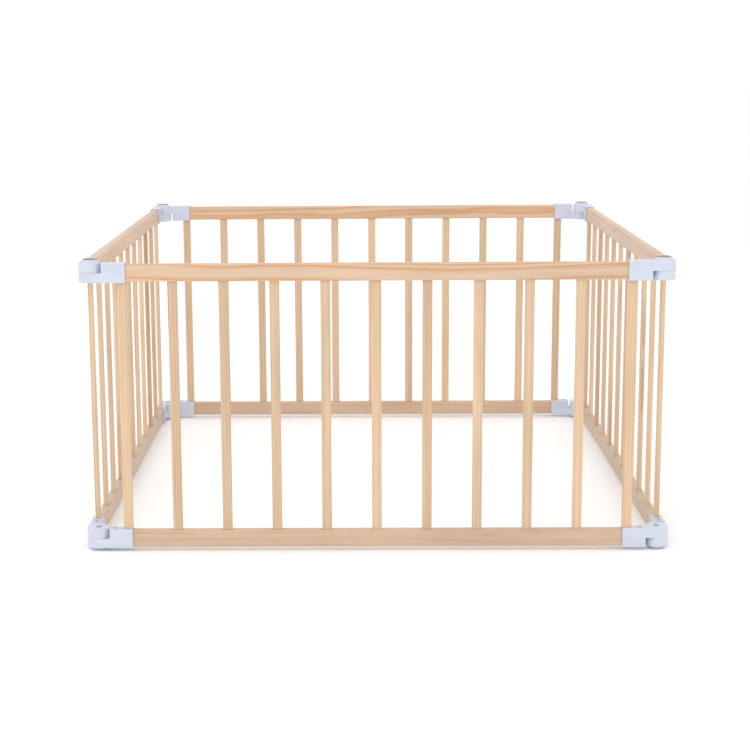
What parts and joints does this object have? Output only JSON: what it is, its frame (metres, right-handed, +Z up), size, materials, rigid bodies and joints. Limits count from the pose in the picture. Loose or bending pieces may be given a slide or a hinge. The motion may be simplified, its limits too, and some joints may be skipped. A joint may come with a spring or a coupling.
{
  "type": "playpen",
  "caption": "Square wooden playpen: slatted panels joined at the corners by white plastic swivel brackets on hinge pins, with no floor.",
  "frame": {"origin": "on the floor, under the middle of the pen", "axes": "+Z up, -Y towards the front panel, +X towards the right panel"},
  "size_m": [1.198, 1.198, 0.604],
  "materials": {
    "pine": "satin",
    "white_plastic": "satin",
    "brown_foot": "matte",
    "screw_steel": "plated"
  },
  "bodies": {
    "front_panel": {"front_frame": "pine", "front_slat_02": "pine", "front_slat_03": "pine", "front_slat_04": "pine", "front_slat_05": "pine", "front_slat_07": "pine", "front_slat_08": "pine", "front_slat_09": "pine", "front_slat_10": "pine", "front_bracket_bottom_left": "white_plastic", "front_bracket_bottom_right": "white_plastic", "front_bracket_top_left": "white_plastic", "front_bracket_top_right": "white_plastic", "front_pin_bottom": "brown_foot", "front_pin_top": "brown_foot"},
    "right_panel": {"right_frame": "pine", "right_slat_02": "pine", "right_slat_03": "pine", "right_slat_04": "pine", "right_slat_05": "pine", "right_slat_07": "pine", "right_slat_08": "pine", "right_slat_09": "pine", "right_slat_10": "pine", "right_bracket_bottom_left": "white_plastic", "right_bracket_bottom_right": "white_plastic", "right_bracket_top_left": "white_plastic", "right_bracket_top_right": "white_plastic", "right_pin_bottom": "brown_foot", "right_pin_top": "brown_foot"},
    "back_panel": {"back_frame": "pine", "back_slat_02": "pine", "back_slat_03": "pine", "back_slat_04": "pine", "back_slat_05": "pine", "back_slat_07": "pine", "back_slat_08": "pine", "back_slat_09": "pine", "back_slat_10": "pine", "back_bracket_bottom_left": "white_plastic", "back_bracket_bottom_right": "white_plastic", "back_bracket_top_left": "white_plastic", "back_bracket_top_right": "white_plastic", "back_pin_bottom": "brown_foot", "back_pin_top": "brown_foot"},
    "left_panel": {"left_frame": "pine", "left_slat_02": "pine", "left_slat_03": "pine", "left_slat_04": "pine", "left_slat_05": "pine", "left_slat_07": "pine", "left_slat_08": "pine", "left_slat_09": "pine", "left_slat_10": "pine", "left_bracket_bottom_left": "white_plastic", "left_bracket_bottom_right": "white_plastic", "left_bracket_top_left": "white_plastic", "left_bracket_top_right": "white_plastic", "left_pin_bottom": "brown_foot", "left_pin_top": "brown_foot"}
  },
  "joints": [
    {"name": "left_fold", "type": "hinge", "parent": "front_panel", "child": "left_panel", "pos_m": [-0.575, -0.575, 0], "axis": [0, 0, 1], "range_deg": [-75, 75]},
    {"name": "right_fold", "type": "hinge", "parent": "front_panel", "child": "right_panel", "pos_m": [0.575, -0.575, 0], "axis": [0, 0, 1], "range_deg": [-75, 75]},
    {"name": "back_fold", "type": "hinge", "parent": "left_panel", "child": "back_panel", "pos_m": [-0.575, 0.575, 0], "axis": [0, 0, 1], "range_deg": [-75, 75]}
  ],
  "couplings": [
    {"joint": "right_fold", "follows": "left_fold", "ratio": 1},
    {"joint": "back_fold", "follows": "left_fold", "ratio": -1}
  ]
}
